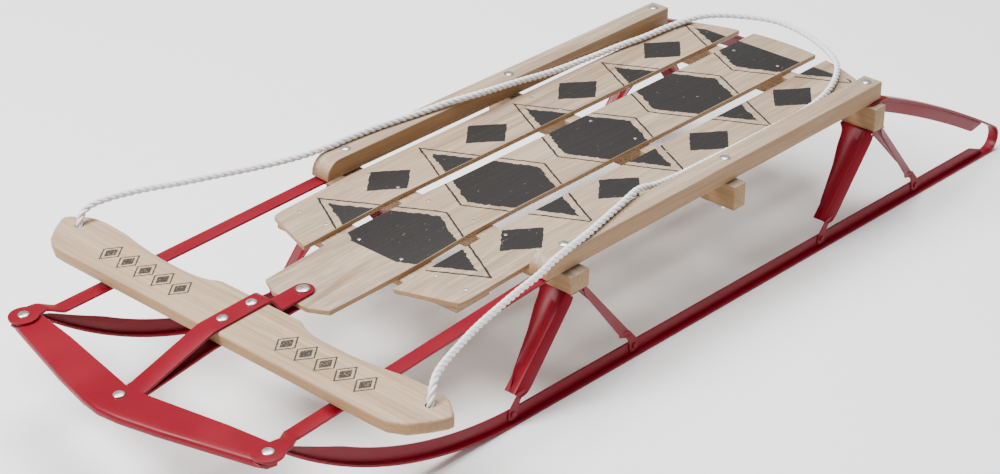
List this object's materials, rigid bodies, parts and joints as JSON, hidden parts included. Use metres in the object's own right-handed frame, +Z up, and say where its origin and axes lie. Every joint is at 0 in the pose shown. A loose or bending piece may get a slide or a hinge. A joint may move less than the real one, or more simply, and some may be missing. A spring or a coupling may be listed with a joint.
{
  "type": "steering sled",
  "caption": "Wooden slatted sled on steel runners, with knees, side rails, a steering bar that flexes the runner fronts, a bumper and a tow rope",
  "frame": {"origin": "middle of the sled's footprint, on the ground under the runners", "axes": "+Z up, -Y to the front, +X to the rider's left"},
  "size_m": [0.568, 1.2854, 0.177],
  "materials": {
    "slats": "pale hardwood slats, clear satin varnish, with a worn black abstract print",
    "frame_wood": "pale hardwood stock, clear satin varnish, warm on the sides",
    "bar_wood": "pale hardwood bar with rounded edges, clear satin varnish, small outline print",
    "red_paint": "glossy red enamel on steel",
    "zinc": "zinc plated, satin",
    "rope": "white three-strand laid rope"
  },
  "bodies": {
    "frame": {"slat_centre": "slats", "slat_left": "slats", "slat_right": "slats", "front_cleat": "frame_wood", "rail_left": "frame_wood", "rail_right": "frame_wood", "bench_front": "frame_wood", "bench_middle": "frame_wood", "bench_rear": "frame_wood", "knee_front_left": "red_paint", "knee_front_right": "red_paint", "knee_rear_left": "red_paint", "knee_rear_right": "red_paint", "runner_left": "red_paint", "runner_right": "red_paint", "runner_rise_left": "red_paint", "runner_rise_right": "red_paint", "runner_turn_left": "red_paint", "runner_turn_right": "red_paint", "runner_return_left": "red_paint", "runner_return_right": "red_paint", "side_strap_left": "red_paint", "side_strap_right": "red_paint", "rail_bolts": "zinc", "rail_nuts": "zinc", "rail_spacers": "zinc", "slat_nails": "zinc", "knee_welds": "red_paint", "pivot_bolt": "zinc", "pivot_nut": "zinc", "rope_deck": "rope", "rope_left": "rope", "rope_right": "rope"},
    "steering": {"steering_bar": "bar_wood", "centre_strap_upper": "red_paint", "centre_strap_lower": "red_paint", "bar_rivets": "zinc", "bumper_pin": "zinc", "rope_knots": "rope"},
    "bumper": {"bumper": "red_paint"},
    "left_front": {"runner_tip_left": "red_paint", "strap_tip_left": "red_paint", "corner_rivet_left": "zinc"},
    "right_front": {"runner_tip_right": "red_paint", "strap_tip_right": "red_paint", "corner_rivet_right": "zinc"}
  },
  "joints": [
    {"name": "steer", "type": "hinge", "parent": "frame", "child": "steering", "pos_m": [0, -0.37614, 0.13365], "axis": [0, -0.0606, 0.9982], "range_deg": [-8, 8], "deforming": ["rope_left", "rope_right"]},
    {"name": "bumper_pivot", "type": "hinge", "parent": "steering", "child": "bumper", "pos_m": [0, -0.6147, 0.11917], "axis": [0, -0.0606, 0.9982], "range_deg": [-8, 8]},
    {"name": "left_flex", "type": "hinge", "parent": "frame", "child": "left_front", "pos_m": [0.18, -0.34969, 0.13526], "axis": [0, -0.0606, 0.9982], "range_deg": [-8, 8]},
    {"name": "right_flex", "type": "hinge", "parent": "frame", "child": "right_front", "pos_m": [-0.18, -0.34969, 0.13526], "axis": [0, -0.0606, 0.9982], "range_deg": [-8, 8]}
  ],
  "couplings": [
    {"joint": "bumper_pivot", "follows": "steer", "ratio": -1},
    {"joint": "left_flex", "follows": "steer", "ratio": 1},
    {"joint": "right_flex", "follows": "steer", "ratio": 1}
  ]
}
